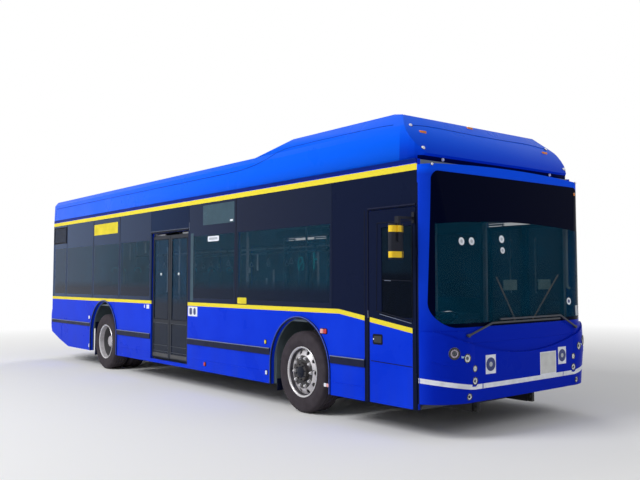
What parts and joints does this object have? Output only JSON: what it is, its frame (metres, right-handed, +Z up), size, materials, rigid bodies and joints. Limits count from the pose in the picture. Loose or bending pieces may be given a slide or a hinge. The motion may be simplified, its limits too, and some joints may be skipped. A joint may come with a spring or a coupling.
{
  "type": "city bus",
  "caption": "Low-floor electric city bus with hollow saloon, rolling wheels, steered front axle, inward-gliding double doors and a hinged driver's door.",
  "frame": {"origin": "on the ground under the middle of the bounding box", "axes": "+X to the front of the bus, +Y to its left, +Z up"},
  "size_m": [11.18, 3.16, 3.3279],
  "materials": {
    "blue_paint": "gloss royal blue, yellow stripes",
    "black_paint": "gloss black",
    "glass": "tinted, black printed border",
    "tyre": "satin rubber",
    "rim": "silver painted steel",
    "chassis_steel": "black chassis paint",
    "cast_steel": "bare casting",
    "floor_cover": "speckled grey floor covering",
    "interior": "light grey lining",
    "dark_plastic": "textured dark grey",
    "seat": "teal moulded plastic",
    "yellow_tube": "powder-coated tube",
    "rubber": "matt black",
    "lamp": "clear lens",
    "housing": "satin grey"
  },
  "bodies": {
    "chassis": {"battery_packs": "housing", "chassis_frame": "chassis_steel", "dashboard": "dark_plastic", "destination_displays": "black_paint", "door_gear": "housing", "drive_unit": "housing", "driver_partition": "interior", "driver_seat": "dark_plastic", "fixed_windows": "glass", "floor": "floor_cover", "front_axle": "cast_steel", "front_fascia": "blue_paint", "handrails": "yellow_tube", "lamps": "lamp", "mirror_left": "black_paint", "passenger_seats": "seat", "rear_axle": "cast_steel", "rear_bumper": "blue_paint", "rear_wall": "blue_paint", "roof_cowl": "blue_paint", "roof_panel": "interior", "side_trim": "rubber", "side_walls": "blue_paint", "wheel_housings": "interior", "windscreen": "glass", "windscreen_surround": "black_paint", "wipers": "dark_plastic"},
    "wheel_front_left": {"front_tyre_left": "tyre", "front_rim_left": "rim"},
    "wheel_front_right": {"front_tyre_right": "tyre", "front_rim_right": "rim"},
    "wheels_rear_left": {"rear_tyre_left": "tyre", "rear_rim_left": "rim"},
    "wheels_rear_right": {"rear_tyre_right": "tyre", "rear_rim_right": "rim"},
    "knuckle_left": {"knuckle_left": "cast_steel"},
    "knuckle_right": {"knuckle_right": "cast_steel"},
    "cab_door": {"cab_door": "blue_paint", "cab_door_glass": "glass", "mirror_right": "black_paint"},
    "steering_wheel": {"steering_wheel": "dark_plastic"},
    "post_right_middle_rear": {"post_right_middle_rear": "yellow_tube"},
    "leaf_right_middle_rear": {"leaf_right_middle_rear": "black_paint", "leaf_glass_right_middle_rear": "glass"},
    "post_right_middle_front": {"post_right_middle_front": "yellow_tube"},
    "leaf_right_middle_front": {"leaf_right_middle_front": "black_paint", "leaf_glass_right_middle_front": "glass"},
    "post_left_middle_rear": {"post_left_middle_rear": "yellow_tube"},
    "leaf_left_middle_rear": {"leaf_left_middle_rear": "black_paint", "leaf_glass_left_middle_rear": "glass"},
    "post_left_middle_front": {"post_left_middle_front": "yellow_tube"},
    "leaf_left_middle_front": {"leaf_left_middle_front": "black_paint", "leaf_glass_left_middle_front": "glass"},
    "post_left_front_rear": {"post_left_front_rear": "yellow_tube"},
    "leaf_left_front_rear": {"leaf_left_front_rear": "black_paint", "leaf_glass_left_front_rear": "glass"},
    "post_left_front_front": {"post_left_front_front": "yellow_tube"},
    "leaf_left_front_front": {"leaf_left_front_front": "black_paint", "leaf_glass_left_front_front": "glass"}
  },
  "joints": [
    {"name": "steer_left", "type": "hinge", "parent": "chassis", "child": "knuckle_left", "pos_m": [3.235, 0.96, 0.478], "axis": [0, 0, 1], "range_deg": [-38, 38]},
    {"name": "roll_front_left", "type": "hinge", "parent": "knuckle_left", "child": "wheel_front_left", "pos_m": [3.235, 1.1275, 0.478], "axis": [0, 1, 0], "continuous": true},
    {"name": "roll_rear_left", "type": "hinge", "parent": "chassis", "child": "wheels_rear_left", "pos_m": [-2.765, 1.1275, 0.478], "axis": [0, 1, 0], "continuous": true},
    {"name": "steer_right", "type": "hinge", "parent": "chassis", "child": "knuckle_right", "pos_m": [3.235, -0.96, 0.478], "axis": [0, 0, 1], "range_deg": [-38, 38]},
    {"name": "roll_front_right", "type": "hinge", "parent": "knuckle_right", "child": "wheel_front_right", "pos_m": [3.235, -1.1275, 0.478], "axis": [0, 1, 0], "continuous": true},
    {"name": "roll_rear_right", "type": "hinge", "parent": "chassis", "child": "wheels_rear_right", "pos_m": [-2.765, -1.1275, 0.478], "axis": [0, 1, 0], "continuous": true},
    {"name": "turn_steering_wheel", "type": "hinge", "parent": "chassis", "child": "steering_wheel", "pos_m": [5.01, -0.78, 1.12], "axis": [-0.4226, 0, 0.9063], "range_deg": [-700, 700]},
    {"name": "cab_door_hinge", "type": "hinge", "parent": "chassis", "child": "cab_door", "pos_m": [5.243, -1.303, 1.2], "axis": [0, 0, 1], "range_deg": [0, 80]},
    {"name": "post_right_middle_rear_turn", "type": "hinge", "parent": "chassis", "child": "post_right_middle_rear", "pos_m": [-0.843, -1.215, 1.3], "axis": [0, 0, 1], "range_deg": [0, 90]},
    {"name": "leaf_right_middle_rear_turn", "type": "hinge", "parent": "post_right_middle_rear", "child": "leaf_right_middle_rear", "pos_m": [-0.5065, -1.215, 1.3], "axis": [0, 0, -1], "range_deg": [0, 180]},
    {"name": "post_right_middle_front_turn", "type": "hinge", "parent": "chassis", "child": "post_right_middle_front", "pos_m": [0.443, -1.215, 1.3], "axis": [0, 0, -1], "range_deg": [0, 90]},
    {"name": "leaf_right_middle_front_turn", "type": "hinge", "parent": "post_right_middle_front", "child": "leaf_right_middle_front", "pos_m": [0.1065, -1.215, 1.3], "axis": [0, 0, 1], "range_deg": [0, 180]},
    {"name": "post_left_middle_rear_turn", "type": "hinge", "parent": "chassis", "child": "post_left_middle_rear", "pos_m": [-0.843, 1.215, 1.3], "axis": [0, 0, -1], "range_deg": [0, 90]},
    {"name": "leaf_left_middle_rear_turn", "type": "hinge", "parent": "post_left_middle_rear", "child": "leaf_left_middle_rear", "pos_m": [-0.5065, 1.215, 1.3], "axis": [0, 0, 1], "range_deg": [0, 180]},
    {"name": "post_left_middle_front_turn", "type": "hinge", "parent": "chassis", "child": "post_left_middle_front", "pos_m": [0.443, 1.215, 1.3], "axis": [0, 0, 1], "range_deg": [0, 90]},
    {"name": "leaf_left_middle_front_turn", "type": "hinge", "parent": "post_left_middle_front", "child": "leaf_left_middle_front", "pos_m": [0.1065, 1.215, 1.3], "axis": [0, 0, -1], "range_deg": [0, 180]},
    {"name": "post_left_front_rear_turn", "type": "hinge", "parent": "chassis", "child": "post_left_front_rear", "pos_m": [3.927, 1.215, 1.3], "axis": [0, 0, -1], "range_deg": [0, 90]},
    {"name": "leaf_left_front_rear_turn", "type": "hinge", "parent": "post_left_front_rear", "child": "leaf_left_front_rear", "pos_m": [4.2635, 1.215, 1.3], "axis": [0, 0, 1], "range_deg": [0, 180]},
    {"name": "post_left_front_front_turn", "type": "hinge", "parent": "chassis", "child": "post_left_front_front", "pos_m": [5.213, 1.215, 1.3], "axis": [0, 0, 1], "range_deg": [0, 90]},
    {"name": "leaf_left_front_front_turn", "type": "hinge", "parent": "post_left_front_front", "child": "leaf_left_front_front", "pos_m": [4.8765, 1.215, 1.3], "axis": [0, 0, -1], "range_deg": [0, 180]}
  ],
  "couplings": [
    {"joint": "steer_left", "follows": "steer_right", "ratio": 1},
    {"joint": "turn_steering_wheel", "follows": "steer_right", "ratio": 18},
    {"joint": "post_right_middle_front_turn", "follows": "post_right_middle_rear_turn", "ratio": 1},
    {"joint": "leaf_right_middle_rear_turn", "follows": "post_right_middle_rear_turn", "ratio": 2},
    {"joint": "leaf_right_middle_front_turn", "follows": "post_right_middle_rear_turn", "ratio": 2},
    {"joint": "post_left_middle_front_turn", "follows": "post_left_middle_rear_turn", "ratio": 1},
    {"joint": "leaf_left_middle_rear_turn", "follows": "post_left_middle_rear_turn", "ratio": 2},
    {"joint": "leaf_left_middle_front_turn", "follows": "post_left_middle_rear_turn", "ratio": 2},
    {"joint": "post_left_front_front_turn", "follows": "post_left_front_rear_turn", "ratio": 1},
    {"joint": "leaf_left_front_rear_turn", "follows": "post_left_front_rear_turn", "ratio": 2},
    {"joint": "leaf_left_front_front_turn", "follows": "post_left_front_rear_turn", "ratio": 2}
  ]
}
